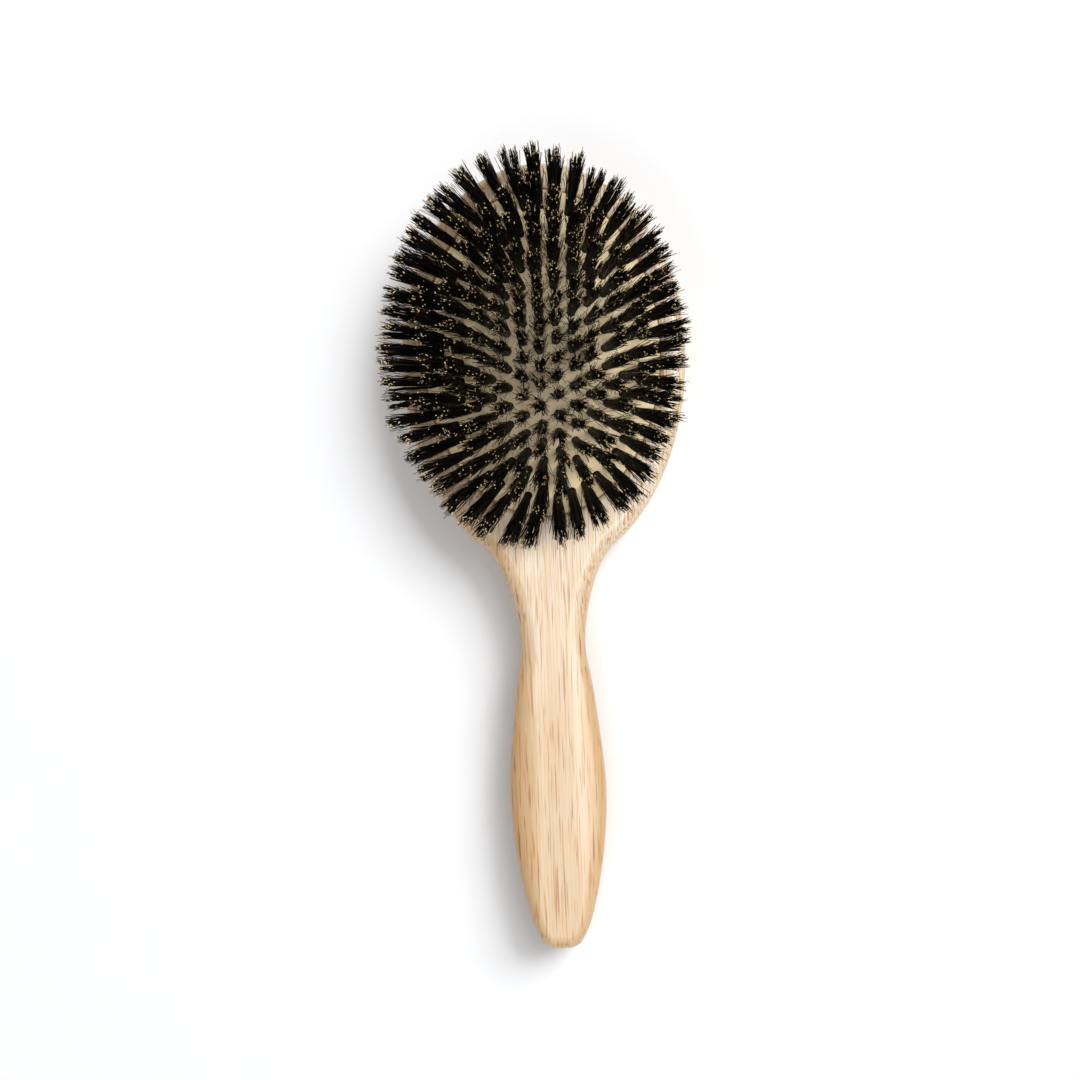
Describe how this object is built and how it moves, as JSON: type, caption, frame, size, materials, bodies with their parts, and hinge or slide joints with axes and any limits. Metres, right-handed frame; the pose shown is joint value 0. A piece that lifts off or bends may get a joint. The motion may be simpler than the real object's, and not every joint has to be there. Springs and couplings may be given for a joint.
{
  "type": "oval cushion hairbrush",
  "caption": "Oval cushion hairbrush: one-piece varnished wooden head and waisted handle, domed rubber cushion in a routed pocket, dense dark bristle tufts that sink with the cushion.",
  "frame": {"origin": "on the plane of the flat back, under the middle of the overall length and width", "axes": "+Z out of the bristle side, square to the flat back; +Y along the brush from the handle to the crown of the head; +X across it"},
  "size_m": [0.0902, 0.241, 0.051],
  "materials": {
    "wood": "pale open-grained hardwood under a thin glossy varnish",
    "cushion_rubber": "matt beige rubber, faintly rippled where the tufts pull on it",
    "liner_felt": "coarse matt felt",
    "bristle": "near-black natural bristle with golden split tips",
    "wire": "plain drawn steel"
  },
  "bodies": {
    "brush_body": {"handle_body": "wood", "rubber_cushion": "cushion_rubber"},
    "tuft_field": {"backing_liner": "liner_felt", "tuft_row_01": "bristle", "tuft_row_02": "bristle", "tuft_row_03": "bristle", "tuft_row_04": "bristle", "tuft_row_05": "bristle", "tuft_row_06": "bristle", "tuft_row_07": "bristle", "tuft_row_08": "bristle", "tuft_row_09": "bristle", "tuft_row_10": "bristle", "tuft_row_11": "bristle", "tuft_arc_top_right": "bristle", "tuft_arc_top_left": "bristle", "tuft_arc_bottom_left": "bristle", "tuft_arc_bottom_right": "bristle", "drawing_wire_01": "wire", "drawing_wire_02": "wire", "drawing_wire_03": "wire", "drawing_wire_04": "wire", "drawing_wire_05": "wire", "drawing_wire_06": "wire", "drawing_wire_07": "wire", "drawing_wire_08": "wire", "drawing_wire_09": "wire", "drawing_wire_10": "wire", "drawing_wire_11": "wire", "drawing_wire_top_right": "wire", "drawing_wire_top_left": "wire", "drawing_wire_bottom_left": "wire", "drawing_wire_bottom_right": "wire"}
  },
  "joints": [
    {"name": "cushion_press", "type": "slide", "parent": "brush_body", "child": "tuft_field", "axis": [0, 0, -1], "range_m": [0, 0.003], "stiffness_N_per_m": 3000, "deforming": ["rubber_cushion"]}
  ]
}
